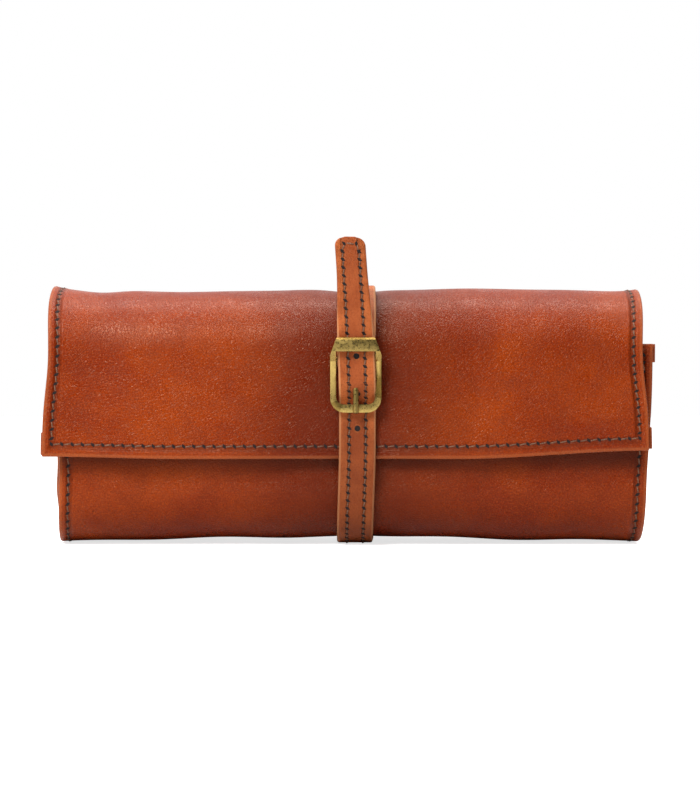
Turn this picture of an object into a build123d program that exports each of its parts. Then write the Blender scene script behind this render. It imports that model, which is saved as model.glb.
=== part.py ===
# Brush roll case: a leather sheet with a lining and brush pockets, rolled into a
# rounded box shape, closed by a flap and one strap with a brass buckle.
#
# Millimetres. X runs along the roll, -Y is the front, +Z is up.
# The origin is on the table, under the middle of the case.
from build123d import *
import math
import os

# ---------------------------------------------------------------- driving sizes
CASE_WIDTH = 323.0          # the leather sheet across the roll, along X
BACK_Y = 44.0               # outer face of the back panel
FRONT_Y = -42.0             # outer face of the front panel, under the flap
FLAP_TOP_Y = -46.0          # outer face of the flap where it leaves the crest
FLAP_EDGE_Y = -48.0         # outer face of the flap at its lower edge
CREST_Z = 142.0             # highest line of the leather
FRONT_END_Z = 110.5         # upper end of the front panel, hidden by the flap
FLAP_EDGE_Z = 48.7          # lower edge of the flap
BOTTOM_RADIUS = 30.0        # outer radius of the two lower bends
TOP_RADIUS = 38.0           # outer radius of the two upper bends

LEATHER = 2.0               # thickness of the outer leather
LINING = 1.0                # thickness of the lining
POCKET = 1.0                # thickness of the pocket sheet
GAP = 0.1                   # clearance between neighbouring layers

STRAP_WIDTH = 18.2
STRAP_X = 5.4               # middle of the strap
STRAP = 3.0                 # thickness of the strap that goes round the case
STRAP_GAP = 0.2             # clearance between the case and the strap
BILLET = 2.6                # thickness of the strap's free end, with the holes
LOOP = 2.5                  # thickness of the leather looped round the bar
TIP_Z = 167.0               # top of the free end of the strap
BEND_Z = 115.4              # height where the free end can be bent
HOLE_RADIUS = 1.5
HOLE_PITCH = 19.3
PRONG_HOLE_Z = 84.0         # the hole that holds the prong
PRONG_HOLE_RADIUS = 1.95    # that hole is stretched wider and follows the prong's slope
TIP_ROUNDING = 6.0          # corner radius and last cross row of thread at the tip
TIP_LEAN = 1.85             # the free end leans back by this much up to its tip
SLEEVE = 0.35               # clearance between the free end and the looped strap
CUT = 0.1                   # clearance between two stretches of the free end
TAIL_Z = 116.5              # end of the folded tail behind the strap
SLOT_WIDTH = 4.4            # slot in the looped strap for the prong
SLOT_HEIGHT = 12.5

BAR_Y = -51.4               # axis of the buckle's centre bar
BAR_Z = 101.6
BAR_RADIUS = 1.5
RUNNING = 0.08              # radial clearance on the centre bar
BUCKLE_WIDTH = 27.3
BUCKLE_LOW_Z = 73.3
BUCKLE_TOP_Z = 113.2
RAIL = 3.1                  # width of the buckle's two side rails
LOWER_BAR = 4.3             # height of the bar under the prong
KEEPER = 7.4                # height of the plate over the strap
METAL = 3.0                 # thickness of the buckle's bars
SHOULDER_DROP = 9.5         # the keeper's shoulders slope over this height
SHOULDER_IN = 3.4           # and come in by this much on each side
LOWER_CORNER = 7.6          # rounding of the buckle's two lower corners
UPPER_CORNER = 1.6          # and of its two upper ones
WINDOW_CORNER = 4.0         # and of the window's lower ones
CHAMFER = 1.2               # cut along the keeper's top edge
PIN_CLEARANCE = 0.02        # the pin is this much smaller than its drilled holes
PIN_RECESS = 0.3            # and stops this short of each side of the buckle
PRONG_WIDTH = 3.3           # thickness of the prong's eye along X
PRONG_RADIUS = 1.55
EYE_WALL = 1.1              # metal round the centre bar
PRONG_DROP = 0.3            # the prong's tip ends below the lower bar
PRONG_PROUD = 2.5           # and in front of it

FACING = 1.2                # thickness of the strips sewn inside both ends
FLAP_FACING_HEIGHT = 12.0
FRONT_FACING_HEIGHT = 9.5
FACING_OVERHANG = 1.3       # how far the strips show past the leather
THREAD = 0.8                # width of a row of thread
THREAD_RISE = 0.3           # how far the thread stands up
THREAD_GAP = 0.02
SIDE_INSET = 5.0            # rows of thread from the side edges
END_INSET = 6.0             # row of thread from the flap's lower edge
STRAP_ROW = 4.45            # rows of thread from the middle of the strap
GROOVE_WIDTH = 1.0          # grooves for the thread in the strap round the case

POCKET_X0 = -157.0          # the pockets hold the handle end of the brushes
POCKET_X1 = 10.0
POCKET_MARGIN = 2.0         # the pocket sheet stops this far below the front facing
# the sheet is rolled a little askew, so its stretches sit this far to the right
SHIFT = {"flap": 0.0, "top": 0.0, "back": 0.5, "bottom": 1.5, "front": 3.5}


# sizes that follow from the ones above
BOTTOM_Z = STRAP + STRAP_GAP                    # the leather lies on the strap
SUNK_FACE = -BOTTOM_Z + THREAD_RISE + 2 * THREAD_GAP            # floor of the thread's grooves
LOOP_FACE = -LOOP / 2                           # outer face of the looped strap, from its middle
BILLET_FACE = BILLET / 2 + 2 * THREAD_GAP + THREAD_RISE         # top of the thread on the free end
LOWER_FACE_Y = FLAP_EDGE_Y - BILLET - 0.6       # back of the bar under the prong
KEEPER_BACK_Y = BAR_Y - BAR_RADIUS - LOOP - BILLET - 0.9        # back of the keeper plate
KEEPER_FRONT_Y = KEEPER_BACK_Y - METAL


# ------------------------------------------------- paths of lines and round bends
def bend_path(corners, radii):
    """Straight runs joined by round bends, as (length, start, heading, turn per mm)."""
    runs = []
    start = Vector(*corners[0])
    for i, radius in enumerate(radii):
        corner = Vector(*corners[i + 1])
        after = Vector(*corners[i + 2])
        heading = (corner - start).normalized()
        leaving = (after - corner).normalized()
        turn = math.atan2(heading.X * leaving.Y - heading.Y * leaving.X, heading.dot(leaving))
        cut = radius * math.tan(abs(turn) / 2)
        straight = (corner - start).length - cut
        runs.append((straight, start, heading, 0.0))
        begin = corner - heading * cut
        runs.append((radius * abs(turn), begin, heading, math.copysign(1 / radius, turn)))
        start = corner + leaving * cut
    end = Vector(*corners[-1])
    runs.append(((end - start).length, start, (end - start).normalized(), 0.0))
    return runs


def path_length(path):
    return sum(run[0] for run in path)


def point_on(path, along, depth):
    """A point at a distance along the path, moved to the left of it by depth."""
    done = 0.0
    for length, start, heading, curve in path:
        if along <= done + length + 1e-9:
            break
        done += length
    step = along - done
    left = Vector(-heading.Y, heading.X)
    if curve == 0.0:
        return start + heading * step + left * depth
    centre = start + left * (1 / curve)
    angle = step * curve
    radial = (left * -1) * math.cos(angle) + heading * math.sin(angle)
    return centre + radial * (1 / curve - depth)


def breaks(path, low, high):
    """The distances between low and high where a line meets a bend."""
    marks = [low]
    done = 0.0
    for run in path:
        done += run[0]
        if low + 1e-6 < done < high - 1e-6:
            marks.append(done)
    marks.append(high)
    return marks


def side_edges(path, marks, depth):
    """One long side of a layer, as straight and round edges."""
    edges = []
    for a, b in zip(marks, marks[1:]):
        first = point_on(path, a, depth)
        last = point_on(path, b, depth)
        middle = point_on(path, (a + b) / 2, depth)
        bow = (middle - (first + last) / 2).length
        if bow < 1e-5:
            edges.append(Line(tuple(first), tuple(last)))
        else:
            edges.append(ThreePointArc(tuple(first), tuple(middle), tuple(last)))
    return edges


def layer(path, low, high, near, far, x0, x1):
    """A layer that follows a path, between two depths and two places along X."""
    marks = breaks(path, low, high)
    edges = side_edges(path, marks, near) + side_edges(path, marks, far)
    for along in (low, high):
        ends = [point_on(path, along, near), point_on(path, along, far)]
        edges.append(Line(tuple(ends[0]), tuple(ends[1])))
    outline = make_face([edge for curve in edges for edge in curve.edges()])
    placed = Plane(origin=(x0, 0, 0), x_dir=(0, 1, 0), z_dir=(1, 0, 0)) * outline
    return extrude(placed, amount=x1 - x0, dir=(1, 0, 0))


# ----------------------------------------------------------------- the wrap's path
def wrap_path():
    """Outer face of the leather, from the front panel's end round to the flap's."""
    corners = [
        (FRONT_Y, FRONT_END_Z),
        (FRONT_Y, BOTTOM_Z),
        (BACK_Y, BOTTOM_Z),
        (BACK_Y, CREST_Z),
        (FLAP_TOP_Y, CREST_Z),
        (FLAP_EDGE_Y, FLAP_EDGE_Z),
    ]
    return bend_path(corners, [BOTTOM_RADIUS, BOTTOM_RADIUS, TOP_RADIUS, TOP_RADIUS])


def body_spans(path):
    """Each body's stretch of the wrap: the bends are shared half and half."""
    middles = []
    done = 0.0
    for length, _, _, curve in path:
        if curve != 0.0:
            middles.append(done + length / 2)
        done += length
    marks = [0.0] + middles + [done]
    names = ["front", "bottom", "back", "top", "flap"]
    return {name: (marks[i], marks[i + 1]) for i, name in enumerate(names)}


WRAP = wrap_path()
SPANS = body_spans(WRAP)
WRAP_END = path_length(WRAP)


def side_x(body):
    """Left and right edge of the leather on one body."""
    middle = SHIFT[body]
    return middle - CASE_WIDTH / 2, middle + CASE_WIDTH / 2


def shell_panel(body):
    x0, x1 = side_x(body)
    low, high = SPANS[body]
    return layer(WRAP, low, high, 0.0, LEATHER, x0, x1)


def lining_panel(body):
    x0, x1 = side_x(body)
    low, high = SPANS[body]
    near = LEATHER + GAP
    return layer(WRAP, low, high, near, near + LINING, x0 + GAP, x1 - GAP)


def pocket_panel(body, end_margin):
    """The pocket sheet inside the lining; end_margin keeps it off a facing strip."""
    low, high = SPANS[body]
    near = LEATHER + LINING + 2 * GAP
    return layer(WRAP, low + end_margin, high, near, near + POCKET, POCKET_X0, POCKET_X1)


def flap_facing():
    """The strip sewn inside the flap's lower end."""
    x0, x1 = side_x("flap")
    near = LEATHER + LINING + 2 * GAP
    low = WRAP_END - FLAP_FACING_HEIGHT
    return layer(WRAP, low, WRAP_END, near, near + FACING, x0 - FACING_OVERHANG, x1)


def front_facing():
    """The strip sewn inside the front panel's upper end."""
    x0, x1 = side_x("front")
    near = LEATHER + LINING + 2 * GAP
    return layer(WRAP, 0.0, FRONT_FACING_HEIGHT, near, near + FACING, x0, x1 + FACING_OVERHANG)


def thread_row(path, low, high, x, face=0.0):
    """A raised row of thread along a path, on the side the path's depth is zero."""
    near = face - THREAD_GAP - THREAD_RISE
    return layer(path, low, high, near, face - THREAD_GAP, x - THREAD / 2, x + THREAD / 2)


def side_stitching(body):
    """The rows of thread along both side edges of one body."""
    x0, x1 = side_x(body)
    low, high = SPANS[body]
    if body == "front":
        low += END_INSET
    if body == "flap":
        high -= END_INSET - THREAD / 2
    rows = [thread_row(WRAP, low, high, x) for x in (x0 + SIDE_INSET, x1 - SIDE_INSET)]
    if body == "flap":
        rows.append(end_row(WRAP_END - END_INSET, x0, x1))
    if body == "front":
        rows.append(end_row(END_INSET, x0, x1))
    return fused(rows)


def end_row(along, x0, x1):
    """The row of thread across the end of the sheet, joining the two side rows."""
    inset = SIDE_INSET - THREAD / 2
    low = along - THREAD / 2
    high = along + THREAD / 2
    top = -THREAD_GAP
    return layer(WRAP, low, high, top - THREAD_RISE, top, x0 + inset, x1 - inset)


def fused(shapes):
    whole = shapes[0]
    for shape in shapes[1:]:
        whole = whole + shape
    return whole


def grouped(shapes):
    """Rows that don't touch stay separate strands in one group."""
    return Compound(children=[solid for shape in shapes for solid in shape.solids()])


# ---------------------------------------------------------------------- the strap
def strap_layer(path, low, high, near, far):
    half = STRAP_WIDTH / 2
    return layer(path, low, high, near, far, STRAP_X - half, STRAP_X + half)


def strap_rows(path, low, high, face):
    """The strap's two rows of thread."""
    places = (STRAP_X - STRAP_ROW, STRAP_X + STRAP_ROW)
    return [thread_row(path, low, high, x, face) for x in places]


def round_strap(body):
    """The strap on the outside of one body of the wrap, with two grooves for thread."""
    low, high = SPANS[body]
    strap = strap_layer(WRAP, low, high, -STRAP_GAP - STRAP, -STRAP_GAP)
    half = GROOVE_WIDTH / 2
    for x in (STRAP_X - STRAP_ROW, STRAP_X + STRAP_ROW):
        strap = strap - layer(WRAP, low, high, -STRAP_GAP - STRAP, SUNK_FACE, x - half, x + half)
    return strap


def round_strap_thread(body):
    """Two rows of thread that lie in the strap's grooves."""
    low, high = SPANS[body]
    return grouped(strap_rows(WRAP, low, high, SUNK_FACE))


def loop_path():
    """Middle of the strap that comes down the flap and turns round the centre bar."""
    radius = BAR_RADIUS + RUNNING + LOOP / 2
    front = BAR_Y - radius
    back = BAR_Y + radius
    clear_of_top = 0.6
    start = point_on(WRAP, SPANS["flap"][0] + clear_of_top, LOOP / 2 - BOTTOM_Z)
    shoulder = FLAP_TOP_Y - 6.0
    below_bend = CREST_Z - TOP_RADIUS - 1.0
    corners = [
        (start.X, start.Y),
        (shoulder, start.Y - (start.X - shoulder)),
        (front, below_bend),
        (front, BAR_Z - radius),
        (back, BAR_Z - radius),
        (back, TAIL_Z),
    ]
    turn = radius - 0.001       # a hair under, so that a straight run is left between the turns
    return bend_path(corners, [20.0, 10.0, turn, turn])


def buckle_strap():
    """The strap's fixed end: over the crest, round the bar and folded back."""
    path = loop_path()
    strap = strap_layer(path, 0.0, path_length(path), -LOOP / 2, LOOP / 2)
    through = 30.0
    slot = Box(SLOT_WIDTH, through, SLOT_HEIGHT).moved(Location((STRAP_X, BAR_Y, BAR_Z)))
    return strap - slot


def buckle_strap_thread():
    """Two rows, from the crest to where the strap runs straight down."""
    path = loop_path()
    return grouped(strap_rows(path, 0.0, path_length(path[:2]), LOOP_FACE))


def billet_path():
    """Middle of the strap's free end: up the front, through the buckle and past it."""
    half = BILLET / 2
    start = point_on(WRAP, SPANS["front"][1], -STRAP_GAP - half)
    slope = 10.0
    across = start + Vector(-1, 1).normalized() * slope
    over_flap = FLAP_EDGE_Y - half - CUT
    over_bar = BAR_Y - BAR_RADIUS - LOOP - SLEEVE - half
    clear_of_edge = 0.6
    corners = [
        (start.X, start.Y),
        (across.X, across.Y),
        (over_flap - clear_of_edge, FLAP_EDGE_Z - 1.0),
        (over_flap, BUCKLE_LOW_Z + LOWER_BAR + 2.2),
        (over_bar, BAR_Z - SLOT_HEIGHT),
        (over_bar, BUCKLE_TOP_Z + 1.0),
        (over_bar + TIP_LEAN, TIP_Z),
    ]
    return bend_path(corners, [24.0, 12.0, 6.0, 6.0, 40.0])


def height_along(path, z):
    """The distance along a rising path where it reaches a height."""
    low, high = 0.0, path_length(path)
    for _ in range(40):
        middle = (low + high) / 2
        if point_on(path, middle, 0.0).Y < z:
            low = middle
        else:
            high = middle
    return low


def punch(z):
    """A round punch through the free end at one height."""
    path = billet_path()
    spot = point_on(path, height_along(path, z), 0.0)
    through = 12.0
    tool = Cylinder(HOLE_RADIUS, through, rotation=(90, 0, 0))
    return tool.moved(Location((STRAP_X, spot.X, spot.Y)))


def billet_blank(low, high):
    return strap_layer(billet_path(), low, high, -BILLET / 2, BILLET / 2)


def billet():
    """The lower stretch of the free end, up to where it can be bent."""
    path = billet_path()
    blank = billet_blank(0.0, height_along(path, BEND_Z))
    blank = blank - punch(PRONG_HOLE_Z + HOLE_PITCH)
    blank = blank - punch(PRONG_HOLE_Z - HOLE_PITCH)
    return blank - prong_shank(PRONG_HOLE_RADIUS)


def billet_end():
    """The free end above the buckle, with its rounded tip."""
    path = billet_path()
    low = height_along(path, BEND_Z) + CUT
    blank = billet_blank(low, path_length(path))
    across = blank.edges().filter_by(Axis.Y, tolerance=8.0)
    corners = [edge for edge in across if edge.center().Z > TIP_Z - BILLET]
    return fillet(corners, TIP_ROUNDING)


def billet_thread():
    """Two rows up the lower stretch, starting clear of the strap's foot."""
    path = billet_path()
    high = height_along(path, BEND_Z) - CUT
    return grouped(strap_rows(path, 1.0, high, BILLET_FACE))


def billet_end_thread():
    """Two rows joined by a cross row near the tip."""
    path = billet_path()
    low = height_along(path, BEND_Z) + 2 * CUT
    high = path_length(path) - TIP_ROUNDING
    rows = strap_rows(path, low, high, BILLET_FACE)
    face = BILLET_FACE - THREAD_GAP
    x0 = STRAP_X - STRAP_ROW - THREAD / 2
    x1 = STRAP_X + STRAP_ROW + THREAD / 2
    rows.append(layer(path, high - THREAD, high, face - THREAD_RISE, face, x0, x1))
    return fused(rows)


# --------------------------------------------------------------------- the buckle
def frame_side():
    """Side view of the buckle: flat below, stepping forward to the keeper plate."""
    low = LOWER_FACE_Y
    outline = [
        (low, BUCKLE_LOW_Z),
        (low - METAL, BUCKLE_LOW_Z),
        (low - METAL, BAR_Z - 10.0),
        (low - METAL - 2.0, BAR_Z - 1.0),
        (KEEPER_FRONT_Y, BUCKLE_TOP_Z - KEEPER),
        (KEEPER_FRONT_Y, BUCKLE_TOP_Z - CHAMFER),
        (KEEPER_FRONT_Y + CHAMFER, BUCKLE_TOP_Z),
        (KEEPER_BACK_Y, BUCKLE_TOP_Z),
        (KEEPER_BACK_Y, BUCKLE_TOP_Z - KEEPER),
        (BAR_Y - 1.0, BAR_Z + 3.4),
        (BAR_Y + 2.2, BAR_Z + 2.4),
        (BAR_Y + 2.6, BAR_Z - 2.4),
        (low, BAR_Z - 6.0),
    ]
    face = make_face(Polyline(*outline, close=True))
    x0 = STRAP_X - BUCKLE_WIDTH / 2
    placed = Plane(origin=(x0, 0, 0), x_dir=(0, 1, 0), z_dir=(1, 0, 0)) * face
    return extrude(placed, amount=BUCKLE_WIDTH, dir=(1, 0, 0))


def frame_front():
    """Front view of the buckle: rounded lower corners and one window."""
    half = BUCKLE_WIDTH / 2
    outline = [
        (-half, BUCKLE_LOW_Z),
        (half, BUCKLE_LOW_Z),
        (half, BUCKLE_TOP_Z - SHOULDER_DROP),
        (half - SHOULDER_IN, BUCKLE_TOP_Z),
        (SHOULDER_IN - half, BUCKLE_TOP_Z),
        (-half, BUCKLE_TOP_Z - SHOULDER_DROP),
    ]
    face = make_face(Polyline(*outline, close=True))
    reach = 20.0                # far enough in front of and behind the bar to cover the side view
    placed = Plane(origin=(STRAP_X, BAR_Y - reach, 0), x_dir=(1, 0, 0), z_dir=(0, -1, 0)) * face
    block = extrude(placed, amount=2 * reach, dir=(0, 1, 0))
    corners = block.edges().filter_by(Axis.Y).sort_by(Axis.Z)
    block = fillet(corners[:2], LOWER_CORNER)
    corners = block.edges().filter_by(Axis.Y).sort_by(Axis.Z)
    block = fillet(corners[-2:], UPPER_CORNER)
    window_low = BUCKLE_LOW_Z + LOWER_BAR
    window_high = BUCKLE_TOP_Z - KEEPER
    window_z = (window_low + window_high) / 2
    window = Box(BUCKLE_WIDTH - 2 * RAIL, 3 * reach, window_high - window_low)
    window = window.moved(Location((STRAP_X, BAR_Y, window_z)))
    lower = window.edges().filter_by(Axis.Y).sort_by(Axis.Z)[:2]
    return block - fillet(lower, WINDOW_CORNER)


def buckle_frame():
    """The cast frame, with a drilled hole in each rail for the centre bar."""
    frame = frame_side() & frame_front()
    drill = Cylinder(BAR_RADIUS, BUCKLE_WIDTH * 2, rotation=(0, 90, 0))
    return frame - drill.moved(Location((STRAP_X, BAR_Y, BAR_Z)))


def buckle_center_bar():
    """The pin across the frame, pressed into both rails."""
    length = BUCKLE_WIDTH - 2 * PIN_RECESS
    pin = Cylinder(BAR_RADIUS - PIN_CLEARANCE, length, rotation=(0, 90, 0))
    return pin.moved(Location((STRAP_X, BAR_Y, BAR_Z)))


def prong_shank(radius):
    """A round rod from beside the centre bar down over the lower bar."""
    foot = Vector(STRAP_X, BAR_Y - 2.1, BAR_Z - 1.2)
    tip = Vector(STRAP_X, LOWER_FACE_Y - METAL - PRONG_PROUD, BUCKLE_LOW_Z - PRONG_DROP)
    along = tip - foot
    plane = Plane(origin=tuple(foot), z_dir=tuple(along))
    return extrude(plane * Circle(radius), amount=along.length)


def buckle_prong():
    """The tongue: an eye round the centre bar and a rod that rests on the frame."""
    bore_radius = BAR_RADIUS + RUNNING
    ring = Circle(bore_radius + EYE_WALL) - Circle(bore_radius)
    eye_x = STRAP_X - PRONG_WIDTH / 2
    plane = Plane(origin=(eye_x, BAR_Y, BAR_Z), x_dir=(0, 1, 0), z_dir=(1, 0, 0))
    eye = extrude(plane * ring, amount=PRONG_WIDTH)
    bore = Cylinder(bore_radius, PRONG_WIDTH * 3, rotation=(0, 90, 0))
    rod = prong_shank(PRONG_RADIUS) - bore.moved(Location((STRAP_X, BAR_Y, BAR_Z)))
    return eye + rod


# ----------------------------------------------------------------------- all nodes
def all_parts():
    parts = {}
    for body in SPANS:
        parts[body + "_panel"] = shell_panel(body)
        parts[body + "_lining"] = lining_panel(body)
        parts[body + "_edge_stitching"] = side_stitching(body)
    for body in ("bottom", "back"):
        parts[body + "_pocket"] = pocket_panel(body, 0.0)
    parts["front_pocket"] = pocket_panel("front", FRONT_FACING_HEIGHT + POCKET_MARGIN)
    parts["flap_facing"] = flap_facing()
    parts["front_facing"] = front_facing()
    for body in ("bottom", "back", "top"):
        parts["strap_" + body] = round_strap(body)
        parts["strap_" + body + "_stitching"] = round_strap_thread(body)
    parts["buckle_strap"] = buckle_strap()
    parts["buckle_strap_stitching"] = buckle_strap_thread()
    parts["billet"] = billet()
    parts["billet_stitching"] = billet_thread()
    parts["billet_end"] = billet_end()
    parts["billet_end_stitching"] = billet_end_thread()
    parts["buckle_frame"] = buckle_frame()
    parts["buckle_center_bar"] = buckle_center_bar()
    parts["buckle_prong"] = buckle_prong()
    return parts


os.makedirs("parts", exist_ok=True)
for name, shape in all_parts().items():
    export_step(shape, "parts/" + name + ".step")
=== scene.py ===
# The look of the leather brush roll case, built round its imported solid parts. Metres.
import math

import bmesh
import bpy
import numpy as np
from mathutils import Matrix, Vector


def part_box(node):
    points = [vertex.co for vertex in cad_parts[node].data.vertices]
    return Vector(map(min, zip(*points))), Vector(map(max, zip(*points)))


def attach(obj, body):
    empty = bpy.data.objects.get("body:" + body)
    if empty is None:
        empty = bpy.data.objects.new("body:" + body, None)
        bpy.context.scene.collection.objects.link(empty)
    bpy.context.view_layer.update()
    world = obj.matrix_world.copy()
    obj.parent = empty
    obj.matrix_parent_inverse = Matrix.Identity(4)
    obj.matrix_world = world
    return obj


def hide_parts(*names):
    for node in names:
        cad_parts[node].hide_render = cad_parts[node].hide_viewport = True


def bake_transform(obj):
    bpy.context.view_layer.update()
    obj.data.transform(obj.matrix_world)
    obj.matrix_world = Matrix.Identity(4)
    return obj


MM = 0.001

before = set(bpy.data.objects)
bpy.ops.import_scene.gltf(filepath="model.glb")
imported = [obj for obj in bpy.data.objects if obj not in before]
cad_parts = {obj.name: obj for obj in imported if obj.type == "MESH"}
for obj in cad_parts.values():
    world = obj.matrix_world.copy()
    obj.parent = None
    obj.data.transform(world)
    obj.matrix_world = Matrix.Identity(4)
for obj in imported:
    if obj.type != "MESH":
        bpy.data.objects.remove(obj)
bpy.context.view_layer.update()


# -------------------------------------------------------- sizes read from the frame
def span(node, axis):
    """The lowest and highest place of a solid part along one axis (0, 1, 2 for X, Y, Z)."""
    low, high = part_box(node)
    return low[axis], high[axis]


def middle(ends):
    return (ends[0] + ends[1]) / 2


BACK_Y = span("back_panel", 1)[1]
FRONT_Y = span("front_panel", 1)[0]
FLAP_EDGE_Y = span("flap_panel", 1)[0]
CREST_Z = span("top_panel", 2)[1]
BOTTOM_Z = span("bottom_panel", 2)[0]
FRONT_END_Z = span("front_panel", 2)[1]
STRAP_X = middle(span("strap_back", 0))
STRAP_HALF = span("strap_back", 0)[1] - STRAP_X
BAR_Y = middle(span("buckle_center_bar", 1))
BAR_Z = middle(span("buckle_center_bar", 2))
BUCKLE_LOW_Z, BUCKLE_TOP_Z = span("buckle_frame", 2)
POCKET_X0, POCKET_X1 = span("back_pocket", 0)

# ---------------------------------------------- sizes shared with the solid parts
FLAP_TOP_Y = -46.0 * MM         # outer face of the flap where it leaves the crest
FLAP_EDGE_Z = 48.7 * MM         # lower edge of the flap
BOTTOM_RADIUS = 30.0 * MM       # outer radius of the two lower bends
TOP_RADIUS = 38.0 * MM          # and of the two upper ones
LEATHER = 2.0 * MM              # thicknesses of the sheet's layers
LINING = 1.0 * MM
POCKET = 1.0 * MM
FACING = 1.2 * MM
GAP = 0.1 * MM                  # clearance between neighbouring layers

STRAP = 3.0 * MM                # thickness of the strap round the case
STRAP_GAP = 0.2 * MM
BILLET = 2.6 * MM               # thickness of its free end
LOOP = 2.5 * MM                 # thickness of its fixed end, looped round the bar
TIP_Z = 167.0 * MM              # top of the free end
BEND_Z = 115.4 * MM             # height where the free end can be bent
BAR_RADIUS = 1.5 * MM
RUNNING = 0.08 * MM             # clearance on the bar
LOWER_BAR = 4.3 * MM            # height of the buckle's bar under the prong
SLOT_HEIGHT = 12.5 * MM         # slot in the looped strap for the prong
SLEEVE = 0.35 * MM              # clearance between the free end and the looped strap
PRONG_HOLE_Z = 84.0 * MM        # the hole that holds the prong
HOLE_PITCH = 19.3 * MM
HOLE_RADIUS = 1.6 * MM

SIDE_INSET = 5.0 * MM           # rows of stitches from the sheet's sides
END_INSET = 6.0 * MM            # and from its two ends
STRAP_ROW = 4.45 * MM           # and from the strap's middle

# --------------------------------------------------------- sizes of the look alone
SIDE_PITCH = 5.1 * MM           # from stitch to stitch
END_PITCH = 5.45 * MM
STRAP_PITCH = 4.4 * MM
POCKET_PITCH = 5.0 * MM
SLOT_WIDTH = 26.0 * MM          # from seam to seam of the pocket sheet
POCKET_SWELL = 2.2 * MM         # how far the pockets swell between their seams

SHEET_HALF = 162.5 * MM         # half the width of the leather sheet
CREST_SWELL = 1.4 * MM          # the sheet's sides stand out this much more over the crest
FLAP_WAIST = 2.4 * MM           # and pull in this much on the flap
FRONT_WAIST = 3.0 * MM          # and on the front panel
FRONT_SHIFT = 4.4 * MM          # the sheet is rolled askew, so its front sits to the right

FLARE = 1.0 * MM                # the sheet's sides curl outward, the left one more
LEFT_FLARE = 1.9
DIP = 1.5 * MM                  # hollow inside the left seam, over the crest
SINK = 1.5 * MM                 # the strap pulls the leather in by this much
LEAN = 4.2 * MM                 # the flap's edge stands out either side of the strap
BELLY = 0.9 * MM                # long, middle and short waves in the leather
WAVES = (0.35 * MM, 0.25 * MM)
CREASE_X = 70.0 * MM            # a soft upright crease on the flap
CREASE = 2.4 * MM
LEFT_DROOP = 1.9 * MM           # the ends sag past the strap that lifts the middle
RIGHT_DROOP = 2.5 * MM

THREAD = 0.42 * MM              # radius of a stitch's thread
EDGE_ROUNDNESS = 0.8            # how far cut edges bulge, as a share of half the thickness


# ------------------------------------------------ paths of straight runs and bends
def bend_path(corners, radii):
    """Runs of (length, start, heading, turn per metre) in the YZ plane."""
    runs = []
    start = np.array(corners[0], float)
    for i, radius in enumerate(radii):
        corner = np.array(corners[i + 1], float)
        after = np.array(corners[i + 2], float)
        heading = (corner - start) / np.linalg.norm(corner - start)
        leaving = (after - corner) / np.linalg.norm(after - corner)
        turn = math.atan2(heading[0] * leaving[1] - heading[1] * leaving[0], heading @ leaving)
        cut = radius * math.tan(abs(turn) / 2)
        runs.append((np.linalg.norm(corner - start) - cut, start, heading, 0.0))
        begin = corner - heading * cut
        runs.append((radius * abs(turn), begin, heading, math.copysign(1 / radius, turn)))
        start = corner + leaving * cut
    end = np.array(corners[-1], float)
    length = np.linalg.norm(end - start)
    runs.append((length, start, (end - start) / length, 0.0))
    return runs


def path_length(path):
    return sum(run[0] for run in path)


def path_point(path, along):
    """The point and the left-hand normal at a distance along a path."""
    done = 0.0
    for length, start, heading, curve in path[:-1]:
        if along <= done + length:
            break
        done += length
    else:
        length, start, heading, curve = path[-1]
    step = along - done
    left = np.array([-heading[1], heading[0]])
    if curve == 0.0:
        return start + heading * step, left
    angle = step * curve
    centre = start + left / curve
    radial = -left * math.cos(angle) + heading * math.sin(angle)
    return centre + radial / curve, -radial


WRAP = bend_path(
    [
        (FRONT_Y, FRONT_END_Z),
        (FRONT_Y, BOTTOM_Z),
        (BACK_Y, BOTTOM_Z),
        (BACK_Y, CREST_Z),
        (FLAP_TOP_Y, CREST_Z),
        (FLAP_EDGE_Y, FLAP_EDGE_Z),
    ],
    [BOTTOM_RADIUS, BOTTOM_RADIUS, TOP_RADIUS, TOP_RADIUS],
)
STARTS = np.concatenate([[0.0], np.cumsum([run[0] for run in WRAP])])
WRAP_END = STARTS[-1]
MID_BOTTOM = (STARTS[2] + STARTS[3]) / 2
MID_BACK = (STARTS[4] + STARTS[5]) / 2
MID_TOP = (STARTS[6] + STARTS[7]) / 2
# each stretch of leather crosses one bend: its two bodies, its ends, and the bend's ends
STRETCHES = {
    "front_bottom": ("front", "bottom", 0.0, MID_BOTTOM, STARTS[1], STARTS[2]),
    "bottom_back": ("bottom", "back", MID_BOTTOM, MID_BACK, STARTS[3], STARTS[4]),
    "back_top": ("back", "top", MID_BACK, MID_TOP, STARTS[5], STARTS[6]),
    "top_flap": ("top", "flap", MID_TOP, WRAP_END, STARTS[7], STARTS[8]),
}


# ------------------------------------------------------ how the real sheet departs
def smooth(x, low, high):
    t = np.clip((x - low) / (high - low), 0.0, 1.0)
    return t * t * (3 - 2 * t)


def swell(at, peak, reach):
    """A soft bump: 1 at its peak and close to 0 two reaches away."""
    return math.exp(-(((at - peak) / reach) ** 2))


def sheet_edges(s):
    """The sheet's two sides: wide over the crest, drawn in on the flap and the front panel."""
    crest = CREST_SWELL * swell(s, STARTS[6], 45 * MM)
    waists = FLAP_WAIST * swell(s, STARTS[8], 26 * MM) + FRONT_WAIST * swell(s, STARTS[1], 37 * MM)
    half = SHEET_HALF + crest - waists
    centre = FRONT_SHIFT * (1 - smooth(s, 50 * MM, 190 * MM))
    return centre - half, centre + half


def flap_trim(x):
    """How much shorter the flap is, across its width."""
    at_left = 1.3 * smooth(-x, 0.09, 0.16)
    at_right = 4.6 * smooth(x, 0.06, 0.165)
    return (0.3 + at_left + at_right) * MM


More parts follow.
